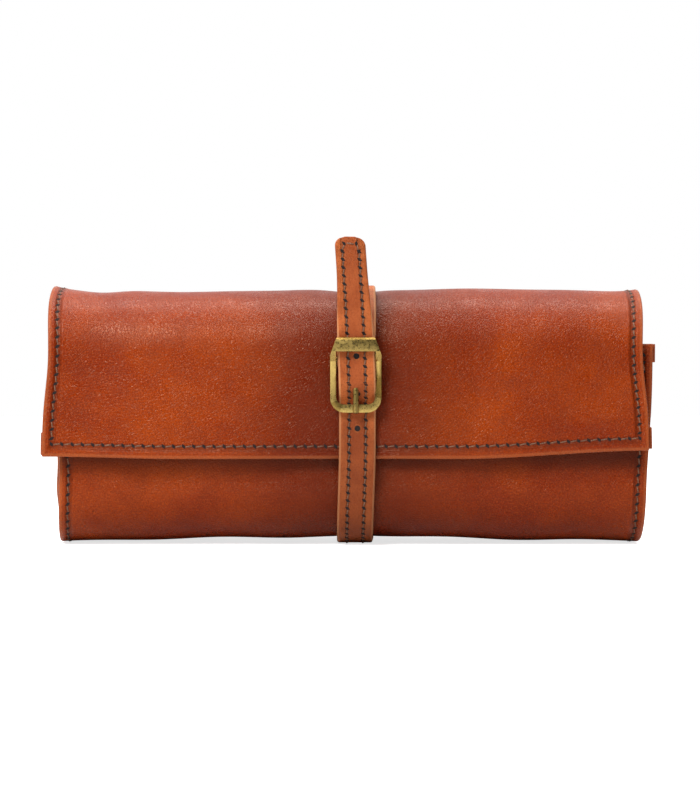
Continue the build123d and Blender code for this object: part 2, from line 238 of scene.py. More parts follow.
def outward(x, s):
    """How far the leather stands out from its plain path."""
    left, right = sheet_edges(s)
    from_strap = x - STRAP_X
    upper = smooth(s, MID_BACK, STARTS[5])
    flap = smooth(s, STARTS[8] - 12 * MM, WRAP_END)
    curl = np.exp(-(x - left) / (9 * MM)) * LEFT_FLARE + np.exp(-(right - x) / (7 * MM))
    flare = FLARE * curl * (0.35 + 1.3 * upper)
    dip = -DIP * swell(x, left + 27 * MM, 13 * MM) * upper * (1 - flap)
    sink = -SINK * swell(from_strap, 0.0, 15 * MM) * (0.35 + 0.65 * upper)
    lean = LEAN * flap * (1 - swell(from_strap, 0.0, 45 * MM))
    waves = BELLY * np.sin(x * 21 + 0.6) * np.sin(s * 18 + 1.0)
    waves += WAVES[0] * np.sin(x * 57 - s * 29) + WAVES[1] * np.sin(x * 96 + s * 41)
    waves *= smooth(np.abs(from_strap), 0.0, 0.04)
    crease = -CREASE * swell(x, CREASE_X, 4 * MM) * flap * (1 - flap)
    return flare + dip + sink + lean + waves + crease


def droop(x, z):
    """The ends of the case sag past the strap that lifts its middle."""
    away = smooth(np.abs(x - STRAP_X), 0.015, 0.15)
    side = RIGHT_DROOP if x > STRAP_X else LEFT_DROOP
    low = np.clip(1 - z / (36 * MM), 0, 1) ** 1.5
    return away * side * low


def on_wrap(x, s, depth):
    """A point of the sheet at X, a distance along the wrap and a depth below its face."""
    trim = flap_trim(x) * smooth(s, STARTS[8], WRAP_END)
    point, normal = path_point(WRAP, max(s - trim, 0.0))
    y, z = point + normal * (depth - outward(x, s))
    return x, y, z - droop(x, z)


# ---------------------------------------------------------------- building meshes
def new_object(name, points, faces, uvs, material, rims=None):
    """A mesh whose UVs are metres on the leather; rims are distances to its two sides."""
    mesh = bpy.data.meshes.new(name)
    mesh.from_pydata([tuple(p) for p in points], [], faces)
    loops = np.zeros(len(mesh.loops), int)
    mesh.loops.foreach_get("vertex_index", loops)
    for layer_name, values in (("UVMap", uvs), ("Rims", rims)):
        if values is not None:
            layer = mesh.uv_layers.new(name=layer_name)
            layer.data.foreach_set("uv", np.array(values, float)[loops].ravel())
    mesh.polygons.foreach_set("use_smooth", [True] * len(mesh.polygons))
    mesh.materials.append(material)
    mesh.update()
    obj = bpy.data.objects.new(name, mesh)
    bpy.context.scene.collection.objects.link(obj)
    return obj


def across_profile(count, near, far):
    """A closed strip section: (share of the width, inset, depth) round a thin band."""
    half = (far - near) / 2
    centre = (far + near) / 2
    shares = np.linspace(0.0, 1.0, count)
    turns = [math.radians(angle) for angle in (45, 90, 135)]
    ring = [(t, 0.0, near) for t in shares]
    ring += [(1.0, half * math.sin(a) * EDGE_ROUNDNESS, centre - half * math.cos(a)) for a in turns]
    ring += [(t, 0.0, far) for t in shares[::-1]]
    turns.reverse()
    ring += [(0.0, -half * math.sin(a) * EDGE_ROUNDNESS, centre - half * math.cos(a)) for a in turns]
    return ring


def band_rows(s0, s1, step, half, ends):
    """The rows of a band as (place along it, share of its thickness), with rounded ends."""
    count = max(3, int(round((s1 - s0) / step)) + 1)
    rows = [(s, 1.0) for s in np.linspace(s0, s1, count)]
    tip = [(math.sin(math.radians(a)), math.cos(math.radians(a))) for a in (40, 70, 88)]
    reach = half * EDGE_ROUNDNESS
    if ends[0]:
        rows = [(s0 - reach * out, thick) for out, thick in tip[::-1]] + rows
    if ends[1]:
        rows = rows + [(s1 + reach * out, thick) for out, thick in tip]
    return rows


def band(name, place, edges, s0, s1, step, columns, near, far, material, ends=(True, True)):
    """A band of leather; place(x, s, depth) gives points, edges(s) gives its two sides."""
    rows = band_rows(s0, s1, step, (far - near) / 2, ends)
    centre = (far + near) / 2
    ring = across_profile(columns, near, far)
    points, uvs, rims = [], [], []
    for s, thick in rows:
        left, right = edges(min(max(s, s0), s1))
        for share, inset, depth in ring:
            x = left + (right - left) * share + inset * thick
            points.append(place(x, s, centre + (depth - centre) * thick))
            uvs.append((x, s))
            rims.append((x - left, right - x))
    n = len(ring)
    faces = []
    for low in range(0, (len(rows) - 1) * n, n):
        for c in range(n):
            d = (c + 1) % n
            faces.append((low + c, low + d, low + n + d, low + n + c))
    if ends[0]:
        faces += cap_faces(columns, 0)
    if ends[1]:
        faces += cap_faces(columns, (len(rows) - 1) * n)
    obj = new_object(name, points, faces, uvs, material, rims)
    fix_normals(obj)
    return obj


def cap_faces(columns, first):
    """Closes one end of a band: outer face to inner face, and the two round sides."""
    inner = 2 * columns + 2
    faces = []
    for i in range(columns - 1):
        back = first + inner - i
        faces.append((first + i, first + i + 1, back - 1, back))
    faces.append(tuple(first + columns - 1 + k for k in range(5)))
    faces.append(tuple(first + k for k in (inner, inner + 1, inner + 2, inner + 3, 0)))
    return faces


def fix_normals(obj):
    mesh = bmesh.new()
    mesh.from_mesh(obj.data)
    bmesh.ops.recalc_face_normals(mesh, faces=mesh.faces)
    mesh.to_mesh(obj.data)
    mesh.free()


def across_run(a, b):
    """The direction from a to b on the leather, the one square to it, and the distance."""
    run = np.array(b) - np.array(a)
    length = np.linalg.norm(run)
    run = run / length
    return run, np.array([-run[1], run[0]]), length


def one_stitch(points, faces, kinds, a, b, place, up):
    """A thread from mark to mark, low at its ends and standing up between them."""
    sides = 6
    steps = 6
    run, side, length = across_run(a, b)
    slant = side * 0.30 * MM
    first = np.array(a) + run * 0.17 * length + slant
    last = np.array(b) - run * 0.17 * length - slant
    base = len(points)
    for k in range(steps + 1):
        spot = first + (last - first) * k / steps
        arch = math.sin(math.pi * k / steps)
        lift = -0.25 * MM + arch ** 0.5 * 0.42 * MM
        fat = THREAD * (0.72 + 0.28 * arch)
        for j in range(sides):
            angle = 2 * math.pi * j / sides
            q = spot + side * fat * math.cos(angle)
            points.append(place(q[0], q[1], up * (lift + fat * 0.8 * math.sin(angle))))
    for low in range(base, base + steps * sides, sides):
        for j in range(sides):
            m = (j + 1) % sides
            faces.append((low + j, low + m, low + sides + m, low + sides + j))
            kinds.append(0)


def one_hole(points, faces, kinds, mark, nearest, place, up):
    """The slanting hole that the awl left at a mark, drawn as a flat quad painted dark as the shade
    inside it.
    """
    run, side, _ = across_run(nearest, mark)
    base = len(points)
    long = (run * 0.85 + side * 1.40) * MM
    wide = (run * 0.80 - side * 0.42) * MM
    for shift in (long, wide, -long, -wide):
        q = np.array(mark) + shift
        points.append(place(q[0], q[1], up * 0.06 * MM))
    faces.append((base, base + 1, base + 2, base + 3))
    kinds.append(1)


def stitch_row(points, faces, kinds, marks, place, up):
    """Arched stitches between neighbouring marks, with the painted shadow of an awl hole at each mark.
    """
    for a, b in zip(marks, marks[1:]):
        one_stitch(points, faces, kinds, a, b, place, up)
    for mark in marks:
        nearest = marks[1] if mark == marks[0] else marks[0]
        one_hole(points, faces, kinds, mark, nearest, place, up)


def stitching(name, rows, place, up, materials):
    """One piece with all the stitches of some rows; place(x, s, depth)."""
    points, faces, kinds = [], [], []
    for marks in rows:
        stitch_row(points, faces, kinds, marks, place, up)
    obj = new_object(name, points, faces, [(p[0], p[2]) for p in points], materials[0])
    obj.data.materials.append(materials[1])
    obj.data.polygons.foreach_set("material_index", kinds)
    fix_normals(obj)
    return obj


def marks_along(x_of, s0, s1, pitch):
    """Marks up a side, on one grid along the wrap so that rows meet between pieces."""
    first = math.ceil(s0 / pitch)
    last = math.floor(s1 / pitch)
    return [(x_of(k * pitch), k * pitch) for k in range(first, last + 1)]


# ---------------------------------------------------------------------- materials
class Nodes:
    """A short way to write a material's nodes."""

    def __init__(self, name):
        self.material = bpy.data.materials.new(name)
        self.material.use_nodes = True
        self.tree = self.material.node_tree
        self.shader = self.tree.nodes["Principled BSDF"]
        coord = self.tree.nodes.new("ShaderNodeTexCoord")
        self.uv = coord.outputs["UV"]
        self.object = coord.outputs["Object"]
        rims = self.tree.nodes.new("ShaderNodeUVMap")
        rims.uv_map = "Rims"
        self.rims = rims.outputs["UV"]

    def link(self, a, b):
        self.tree.links.new(a, b)

    def put(self, socket, value):
        if isinstance(value, bpy.types.NodeSocket):
            self.link(value, socket)
        else:
            socket.default_value = value

    def noise(self, where, scale, detail=4.0, rough=0.55, distortion=0.0):
        node = self.tree.nodes.new("ShaderNodeTexNoise")
        self.link(where, node.inputs["Vector"])
        node.inputs["Scale"].default_value = scale
        node.inputs["Detail"].default_value = detail
        node.inputs["Roughness"].default_value = rough
        node.inputs["Distortion"].default_value = distortion
        return node.outputs["Fac"]

    def cells(self, where, scale, feature="DISTANCE_TO_EDGE"):
        node = self.tree.nodes.new("ShaderNodeTexVoronoi")
        node.feature = feature
        self.link(where, node.inputs["Vector"])
        node.inputs["Scale"].default_value = scale
        return node.outputs["Distance"]

    def math(self, kind, a, b=0.0, c=0.0):
        node = self.tree.nodes.new("ShaderNodeMath")
        node.operation = kind
        for socket, value in zip(node.inputs, (a, b, c)):
            self.put(socket, value)
        return node.outputs[0]

    def ramp(self, value, low, high, out_low=0.0, out_high=1.0):
        node = self.tree.nodes.new("ShaderNodeMapRange")
        node.interpolation_type = "SMOOTHSTEP"
        for key, v in (("From Min", low), ("From Max", high), ("To Min", out_low), ("To Max", out_high)):
            node.inputs[key].default_value = v
        self.link(value, node.inputs["Value"])
        return node.outputs["Result"]

    def mix(self, factor, a, b, kind="MIX"):
        node = self.tree.nodes.new("ShaderNodeMix")
        node.data_type = "RGBA"
        node.blend_type = kind
        self.put(node.inputs[0], factor)
        for socket, value in ((node.inputs[6], a), (node.inputs[7], b)):
            self.put(socket, value if isinstance(value, bpy.types.NodeSocket) else (*value, 1.0))
        return node.outputs[2]

    def split(self, where):
        node = self.tree.nodes.new("ShaderNodeSeparateXYZ")
        self.link(where, node.inputs[0])
        return node.outputs[0], node.outputs[1]

    def stretch(self, where, sx, sy, turn=0.0):
        node = self.tree.nodes.new("ShaderNodeMapping")
        node.inputs["Scale"].default_value = (sx, sy, 1.0)
        node.inputs["Rotation"].default_value = (0.0, 0.0, turn)
        self.link(where, node.inputs["Vector"])
        return node.outputs["Vector"]

    def bump(self, height, distance, strength=1.0, before=None):
        node = self.tree.nodes.new("ShaderNodeBump")
        node.inputs["Distance"].default_value = distance
        node.inputs["Strength"].default_value = strength
        self.link(height, node.inputs["Height"])
        if before is not None:
            self.link(before, node.inputs["Normal"])
        return node.outputs["Normal"]

    def finish(self, colour, roughness, normal, **extra):
        self.put(self.shader.inputs["Base Color"], colour)
        self.put(self.shader.inputs["Roughness"], roughness)
        self.link(normal, self.shader.inputs["Normal"])
        for key, value in extra.items():
            self.put(self.shader.inputs[key.replace("_", " ")], value)
        return self.material


def srgb(r, g, b):
    return tuple((v / 255) ** 2.2 for v in (r, g, b))


WARM_SHINE = (1.0, 0.70, 0.48, 1.0)     # the waxed leather's highlights take on its dye


def case_leather():
    """Glossy cognac leather: pebble grain, blotches, scuffs and a rim raised by the seam, with painted
    shade beside the strap and a painted shadow under the flap.
    """
    n = Nodes("case_leather")
    blotch = n.noise(n.uv, 13.0, 5.0, 0.6, 0.4)
    mottle = n.noise(n.uv, 75.0, 5.0, 0.65)
    speck = n.noise(n.uv, 1150.0, 2.0, 0.6)
    colour = n.mix(n.ramp(blotch, 0.34, 0.68), srgb(122, 37, 3), srgb(150, 57, 9))
    colour = n.mix(n.ramp(mottle, 0.40, 0.74, 0.0, 0.28), colour, srgb(92, 26, 4))
    colour = n.mix(n.ramp(speck, 0.50, 0.68, 0.0, 0.30), colour, srgb(184, 88, 38))
    colour = n.mix(n.ramp(speck, 0.34, 0.50, 0.36, 0.0), colour, srgb(80, 24, 4))
    grain = n.cells(n.uv, 760.0)
    fine = n.noise(n.uv, 2300.0, 3.0)
    colour = n.mix(n.ramp(grain, 0.0, 0.10, 0.30, 0.0), colour, srgb(64, 20, 7))
    scratch = n.noise(n.stretch(n.uv, 300.0, 22.0, 0.9), 1.0, 2.0)
    gate = n.noise(n.uv, 38.0, 2.0)
    marks = n.math("MULTIPLY", n.ramp(scratch, 0.74, 0.79), n.ramp(gate, 0.60, 0.68))
    colour = n.mix(n.math("MULTIPLY", marks, 0.4), colour, srgb(206, 140, 104))
    across, along = n.split(n.uv)
    # painted shade: the leather is darkened either side of the strap, where it sinks in under the strap
    # and lies in shade
    from_strap = n.math("ABSOLUTE", n.math("SUBTRACT", across, STRAP_X))
    colour = n.mix(n.ramp(from_strap, 0.008, 0.085, 0.72, 0.0), colour, srgb(84, 24, 6))
    # painted shadow: the front panel is darkened from its upper end, where the flap covers it, down to
    # just below the flap's edge
    shade_under_flap = n.ramp(along, 0.061, 0.071, 0.78, 0.0)
    painted_flap_shadow = n.math("MULTIPLY", shade_under_flap, n.ramp(across, 0.157, 0.163, 1.0, 0.0))
    colour = n.mix(painted_flap_shadow, colour, srgb(66, 16, 3))
    rim, worn = seam_rim(n)
    colour = n.mix(n.math("MULTIPLY", worn, 0.30), colour, srgb(182, 104, 62))
    dark_seam = n.math("MULTIPLY", n.math("SUBTRACT", 1.0, rim), 0.45)
    colour = n.mix(dark_seam, colour, srgb(84, 30, 12))
    rough = n.math("ADD", n.ramp(mottle, 0.3, 0.7, 0.25, 0.40), n.math("MULTIPLY", marks, 0.12))
    normal = n.bump(rim, 0.0011, 0.9)
    normal = n.bump(n.noise(n.uv, 32.0, 2.0), 0.0024, 0.30, normal)
    normal = n.bump(n.ramp(grain, 0.0, 0.18), 0.00016, 0.7, normal)
    normal = n.bump(fine, 0.00004, 0.5, normal)
    return n.finish(colour, rough, normal, Specular_IOR_Level=0.27, Specular_Tint=WARM_SHINE)


def seam_rim(n):
    """Height 0 along the rows of stitches and 1 elsewhere, and the worn outer edge."""
    left, right = n.split(n.rims)
    _, along = n.split(n.uv)
    side = n.math("MINIMUM", left, right)
    flap_end = n.math("SUBTRACT", WRAP_END, along)
    nearest = n.math("MINIMUM", side, n.math("MINIMUM", flap_end, along))
    off = n.math("ABSOLUTE", n.math("SUBTRACT", nearest, SIDE_INSET - 0.3 * MM))
    groove = n.ramp(off, 0.0004, 0.0024)
    worn = n.ramp(nearest, 0.0003, 0.0016, 1.0, 0.0)
    return groove, worn


def lining_leather():
    n = Nodes("lining")
    cloud = n.noise(n.uv, 60.0, 6.0, 0.65)
    colour = n.mix(n.ramp(cloud, 0.3, 0.7), srgb(150, 104, 72), srgb(176, 128, 92))
    nap = n.noise(n.uv, 1500.0, 4.0, 0.7)
    normal = n.bump(nap, 0.0003, 0.8)
    return n.finish(colour, 0.86, normal, Sheen_Weight=0.35, Sheen_Roughness=0.5)


def pocket_leather():
    n = Nodes("pocket_leather")
    cloud = n.noise(n.uv, 30.0, 5.0, 0.6)
    colour = n.mix(n.ramp(cloud, 0.3, 0.7), srgb(150, 78, 44), srgb(178, 98, 58))
    grain = n.cells(n.uv, 900.0)
    normal = n.bump(n.ramp(grain, 0.0, 0.2), 0.0002, 0.6)
    return n.finish(colour, 0.55, normal)


def strap_leather():
    """Orange-tan strap leather: a redder middle band, pale cut edges and painted shade low on the free
    end.
    """
    n = Nodes("strap_leather")
    across, along = n.split(n.uv)
    off = n.math("ABSOLUTE", across)
    blotch = n.noise(n.uv, 60.0, 5.0, 0.62, 0.3)
    colour = n.mix(n.ramp(blotch, 0.3, 0.7), srgb(144, 69, 32), srgb(184, 98, 52))
    speck = n.noise(n.uv, 900.0, 3.0, 0.65)
    colour = n.mix(n.ramp(speck, 0.34, 0.52, 0.42, 0.0), colour, srgb(104, 46, 20))
    core = n.ramp(off, 0.0030, 0.0044, 0.46, 0.0)
    colour = n.mix(core, colour, srgb(128, 50, 24))
    worn = n.ramp(off, 0.0086, 0.0092, 0.0, 0.55)
    colour = n.mix(worn, colour, srgb(204, 148, 104))
    groove = n.ramp(n.math("ABSOLUTE", n.math("SUBTRACT", off, 0.00445)), 0.0002, 0.0011)
    colour = n.mix(n.math("MULTIPLY", n.math("SUBTRACT", 1.0, groove), 0.35), colour, srgb(96, 44, 26))
    # painted shade: the free end is darkened from under the case up past the flap's edge, fading out
    # towards the buckle
    below = n.ramp(along, 0.085, 0.120, 0.42, 0.0)
    colour = n.mix(below, colour, srgb(96, 40, 18))
    grain = n.cells(n.uv, 1300.0)
    rough = n.ramp(blotch, 0.3, 0.7, 0.38, 0.55)
    normal = n.bump(groove, 0.0006, 0.8)
    normal = n.bump(n.ramp(grain, 0.0, 0.15), 0.00016, 0.6, normal)
    normal = n.bump(n.noise(n.uv, 260.0, 4.0), 0.0005, 0.35, normal)
    return n.finish(colour, rough, normal, Specular_IOR_Level=0.35, Specular_Tint=WARM_SHINE)


def waxed_thread():
    n = Nodes("thread")
    twist = n.noise(n.object, 1800.0, 3.0)
    colour = n.mix(n.ramp(twist, 0.3, 0.7), srgb(70, 42, 29), srgb(136, 94, 68))
    normal = n.bump(twist, 0.0003, 0.9)
    return n.finish(colour, 0.6, normal)


def awl_hole_shade():
    n = Nodes("awl_hole_shade")
    speck = n.noise(n.object, 900.0)
    # painted shadow: near-black colour on flat quads stands for the shade inside the awl holes
    colour = n.mix(speck, srgb(16, 8, 6), srgb(30, 16, 12))
    return n.finish(colour, 0.9, n.bump(speck, 0.0002, 0.5))


def antique_brass():
    """Cast brass, dark in its hollows, with a painted highlight on its edges, which are also worn
    bright.
    """
    n = Nodes("brass")
    geometry = n.tree.nodes.new("ShaderNodeNewGeometry")
    stain = n.noise(n.object, 110.0, 3.0, 0.5, 0.3)
    colour = n.mix(n.ramp(stain, 0.35, 0.65), srgb(72, 52, 17), srgb(114, 86, 34))
    # painted highlight: the sharp edges are coloured pale gold, as well as being worn brass there
    edge = n.ramp(geometry.outputs["Pointiness"], 0.50, 0.56)
    colour = n.mix(n.math("MULTIPLY", edge, 0.7), colour, srgb(206, 176, 104))
    rough = n.ramp(n.noise(n.object, 700.0, 4.0), 0.3, 0.7, 0.22, 0.42)
    normal = n.bump(n.noise(n.object, 300.0, 3.0), 0.00008, 0.2)
    return n.finish(colour, rough, normal, Metallic=1.0)


CASE = case_leather()
LINED = lining_leather()
POCKETS = pocket_leather()
STRAPS = strap_leather()
# the waxed thread, and the near-black paint standing for shade inside stitch and punched holes
THREAD_AND_HOLE_SHADE = (waxed_thread(), awl_hole_shade())
BRASS = antique_brass()


def cross(obj, nodes=()):
    """obj crosses the bend of one stretch and takes the place of some solid parts."""
    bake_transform(obj)
    if nodes:
        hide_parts(*nodes)


PANEL_NODES = {
    "front_bottom": ["front"],
    "bottom_back": ["bottom"],
    "back_top": ["back"],
    "top_flap": ["top", "flap"],
}


def inset_edges(margin):
    def edges(s):
        left, right = sheet_edges(s)
        return left + margin, right - margin

    return edges


def build_sheet():
    lining_near = LEATHER + GAP
    for name, (_, _, s0, s1, _, _) in STRETCHES.items():
        ends = (name == "front_bottom", name == "top_flap")
        owners = PANEL_NODES[name]
        shell = band("leather_" + name, on_wrap, inset_edges(0.8 * MM), s0, s1, 2.2 * MM, 150,
                     0.0, LEATHER, CASE, ends)
        cross(shell, [o + "_panel" for o in owners])
        lining = band("lining_" + name, on_wrap, inset_edges(1.0 * MM), s0, s1, 3.0 * MM, 90,
                      lining_near, lining_near + LINING, LINED, ends)
        cross(lining, [o + "_lining" for o in owners])


def left_row(s):
    return sheet_edges(s)[0] + SIDE_INSET


def right_row(s):
    return sheet_edges(s)[1] - SIDE_INSET


def build_edge_stitching():
    for name, (_, _, s0, s1, _, _) in STRETCHES.items():
        low = max(s0, END_INSET)
        high = min(s1 + SIDE_PITCH, WRAP_END - END_INSET - 1.0 * MM)
        rows = [marks_along(row, low, high, SIDE_PITCH) for row in (left_row, right_row)]
        if name == "top_flap":
            rows.append(end_marks(WRAP_END - END_INSET))
        if name == "front_bottom":
            rows.append(end_marks(END_INSET))
        piece = stitching("stitches_" + name, rows, on_wrap, -1.0, THREAD_AND_HOLE_SHADE)
        nodes = [o + "_edge_stitching" for o in PANEL_NODES[name]]
        cross(piece, nodes)


def end_marks(s):
    left = left_row(s)
    right = right_row(s)
    count = int(round((right - left) / END_PITCH))
    return [(left + (right - left) * k / count, s) for k in range(count + 1)]


def flap_facing_sides(s):
    left, right = sheet_edges(s)
    return left - 0.6 * MM, right + 1.6 * MM


def front_facing_sides(s):
    left, right = sheet_edges(s)
    return left, right + 1.4 * MM


def build_facings():
    """The strips sewn inside both ends of the sheet."""
    near = LEATHER + LINING + 2 * GAP
    strips = {
        "flap": (flap_facing_sides, WRAP_END - 12.0 * MM, WRAP_END - 0.6 * MM),
        "front": (front_facing_sides, 0.2 * MM, 9.5 * MM),
    }
    for body, (sides, s0, s1) in strips.items():
        strip = band("facing_" + body, on_wrap, sides, s0, s1, 1.5 * MM, 120, near, near + FACING, CASE)
        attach(strip, body)
        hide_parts(body + "_facing")


def pocket_place(x, s, depth):
    """The pocket sheet swells between its seams."""
    share = (s / SLOT_WIDTH) % 1.0
    return on_wrap(x, s, depth + POCKET_SWELL * math.sin(math.pi * share) ** 2)


def pocket_sides(s):
    return POCKET_X0, POCKET_X1


def build_pockets():
    near = LEATHER + LINING + 2 * GAP
    far = near + POCKET
    limits = {
        "front_bottom": (14 * MM, MID_BOTTOM, (True, False), "front_pocket"),
        "bottom_back": (MID_BOTTOM, MID_BACK, (False, False), "bottom_pocket"),
        "back_top": (MID_BACK, STARTS[5] + 28 * MM, (False, True), "back_pocket"),
    }
    marks = np.arange(POCKET_X0 + 3 * MM, POCKET_X1 - 2 * MM, POCKET_PITCH)
    for name, (s0, s1, ends, node) in limits.items():
        sheet = band("pocket_" + name, pocket_place, pocket_sides, s0, s1,
                     2.0 * MM, 40, near, far, POCKETS, ends)
        cross(sheet, [node])
        seams = range(math.ceil(s0 / SLOT_WIDTH), math.floor(s1 / SLOT_WIDTH) + 1)
        rows = [[(x, k * SLOT_WIDTH) for x in marks] for k in seams]
        stitches = stitching("pocket_seams_" + name, rows, lambda x, s, d: pocket_place(x, s, far + d),
                             1.0, THREAD_AND_HOLE_SHADE)
        cross(stitches)


# -------------------------------------------------------------------- the strap
def strap_sides(s):
    return -STRAP_HALF, STRAP_HALF


def strap_rows(s0, s1):
    """The marks of the strap's two rows of stitches."""
    return [marks_along(lambda s, x=x: x, s0, s1, STRAP_PITCH) for x in (-STRAP_ROW, STRAP_ROW)]


def on_round_strap(x, s, depth):
    """The strap lies on the leather along its middle; x is counted from there."""
    point, normal = path_point(WRAP, s)
    lift = outward(STRAP_X, s)
    y, z = point + normal * (depth - STRAP_GAP - lift * smooth(z_of(s), 0.0, 0.02))
    return STRAP_X + x, y, z


def z_of(s):
    return path_point(WRAP, s)[0][1]


def build_round_strap():
    limits = {
        "bottom_back": (MID_BOTTOM, MID_BACK, "strap_bottom"),
        "back_top": (MID_BACK, MID_TOP, "strap_back"),
    }
    for name, (s0, s1, node) in limits.items():
        strap = band("strap_" + name, on_round_strap, strap_sides, s0, s1, 1.6 * MM, 17,
                     -STRAP, 0.0, STRAPS, (False, False))
        cross(strap, [node])
        seams = stitching("strap_stitches_" + name, strap_rows(s0, s1 + STRAP_PITCH),
                          lambda x, s, d: on_round_strap(x, s, d - STRAP), -1.0, THREAD_AND_HOLE_SHADE)
        cross(seams, [node + "_stitching"])


def loop_path():
    """Middle of the strap from the top's middle down the flap and round the bar."""
    radius = BAR_RADIUS + RUNNING + LOOP / 2
    front = BAR_Y - radius
    back = BAR_Y + radius
    sunk = 1.1 * MM
    top = CREST_Z + STRAP_GAP + STRAP - LOOP / 2 - sunk
    begin = path_point(WRAP, MID_TOP)[0][0]
    corners = [
        (begin, top),
        (FLAP_TOP_Y - 6.6 * MM, top),
        (front, BAR_Z + 3.0 * MM),
        (front, BAR_Z - radius),
        (back, BAR_Z - radius),
        (back, BAR_Z + 10.5 * MM),
    ]
    return bend_path(corners, [39.0 * MM, 6.0 * MM, radius * 0.999, radius * 0.999])


LOOP_PATH = loop_path()


def on_loop(x, s, depth):
    """The strap's fixed end carries on from the crest, so s is still counted along the wrap."""
    (y, z), normal = path_point(LOOP_PATH, max(s - MID_TOP, 0.0))
    y, z = np.array([y, z]) + normal * depth
    aside = 0.9 * MM * smooth(z, 0.1, 0.13)
    return STRAP_X + x + aside, y, z


def build_buckle_strap():
    end = MID_TOP + path_length(LOOP_PATH)
    strap = band("buckle_strap_leather", on_loop, strap_sides, MID_TOP, end, 1.2 * MM, 17,
                 -LOOP / 2, LOOP / 2, STRAPS, (False, True))
    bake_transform(strap)
    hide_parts("strap_top", "buckle_strap")
    rows = strap_rows(MID_TOP, MID_TOP + path_length(LOOP_PATH[:3]))
    seams = stitching("buckle_strap_stitches", rows,
                      lambda x, s, d: on_loop(x, s, d - LOOP / 2), -1.0, THREAD_AND_HOLE_SHADE)
    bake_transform(seams)
    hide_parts("strap_top_stitching", "buckle_strap_stitching")


def billet_path():
    """Middle of the strap's free end, from under the case up the front to its tip."""
    half = BILLET / 2
    begin = path_point(WRAP, MID_BOTTOM)[0][0]
    low = BOTTOM_Z - STRAP_GAP - half - 0.2 * MM
    over_bar = BAR_Y - BAR_RADIUS - LOOP - half - SLEEVE
    tip_lean = 3.4 * MM
    corners = [
        (begin, low),
        (-37.0 * MM, low),
        (FLAP_EDGE_Y - half - 0.4 * MM, FLAP_EDGE_Z - 4.0 * MM),
        (FLAP_EDGE_Y - half - 0.2 * MM, BUCKLE_LOW_Z + LOWER_BAR + 2.2 * MM),
        (over_bar, BAR_Z - SLOT_HEIGHT),
        (over_bar, BUCKLE_TOP_Z + 1.0 * MM),
        (over_bar + tip_lean, TIP_Z),
    ]
    return bend_path(corners, [30.0 * MM, 24.0 * MM, 6.0 * MM, 6.0 * MM, 50.0 * MM])


BILLET_PATH = billet_path()
BILLET_END = path_length(BILLET_PATH)


def billet_middle(z):
    """The free end comes up a little right of the strap's middle and leans left to its tip."""
    from_below = 1.3 * MM * (1 - smooth(z, 0.0, 58 * MM))
    lean = 4.4 * MM * (max(z - 80 * MM, 0.0) / (90 * MM)) ** 1.5
    return STRAP_X + 0.9 * MM - from_below - lean


def on_billet(x, s, depth):
    (y, z), normal = path_point(BILLET_PATH, min(s, BILLET_END))
    over = max(s - BILLET_END, 0.0)
    y, z = np.array([y, z]) + normal * depth
    twist = 0.10 * smooth(z, 0.12, TIP_Z)
    return billet_middle(z) + x, y + x * twist, z + over * 0.35


def billet_sides(s):
    """The free end narrows a little, then rounds off at its tip."""
    half = STRAP_HALF - (0.2 + 1.7 * smooth(s, BILLET_END - 60 * MM, BILLET_END - 15 * MM)) * MM
    corner = 4.8 * MM
    into = max(s - (BILLET_END - corner), 0.0) / corner
    half -= corner * (1 - math.sqrt(max(1 - into * into, 0.0)))
    return -half, half


def height_along(z):
    marks = np.linspace(0, BILLET_END, 2000)
    heights = [path_point(BILLET_PATH, m)[0][1] for m in marks]
    return float(np.interp(z, heights, marks))


# rings of a punched hole: (share of its radius, height in mm), from its middle outward
HOLE_RINGS = [(0.0, 0.02), (1.0, 0.05), (1.1, 0.14), (1.4, 0.16), (1.62, -0.05)]


def punched_hole(name, z, body):
    """A punched hole in the strap: a raised leather rim round a disc painted dark as the shade inside
    the hole.
    """
    spot = height_along(z)
    points, faces, kinds = [], [], []
    around = 24
    for ring, (radius, height) in enumerate(HOLE_RINGS):
        for k in range(around):
            a = 2 * math.pi * k / around
            x = HOLE_RADIUS * radius * math.cos(a)
            s = spot + HOLE_RADIUS * radius * math.sin(a)
            points.append(on_billet(x, s, BILLET / 2 + height * MM))
        if ring:
            for k in range(around):
                m = (k + 1) % around
                low = (ring - 1) * around
                faces.append((low + k, low + m, low + around + m, low + around + k))
                # the innermost disc takes the painted hole shadow
                kinds.append(1 if ring == 1 else 0)
    obj = new_object(name, points, faces, [(p[0], p[2]) for p in points], STRAPS)
    obj.data.materials.append(THREAD_AND_HOLE_SHADE[1])
    obj.data.polygons.foreach_set("material_index", kinds)
    fix_normals(obj)
    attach(obj, body)


def billet_face(x, s, depth):
    """A point measured from the free end's outer face."""
    return on_billet(x, s, BILLET / 2 - depth)


def build_lower_billet(stop):
    """The free end from under the case to where it can be bent, with its stitches."""
    strap = band("billet_leather", on_billet, billet_sides, 0.0, stop, 1.2 * MM, 17,
                 -BILLET / 2, BILLET / 2, STRAPS, (False, False))
    seams = stitching("billet_stitches", strap_rows(0.0, stop), billet_face, -1.0, THREAD_AND_HOLE_SHADE)
    pieces = ((strap, "strap_leather", "billet"), (seams, "thread", "billet_stitching"))
    for piece, slot, node in pieces:
        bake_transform(piece)
        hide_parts(node)


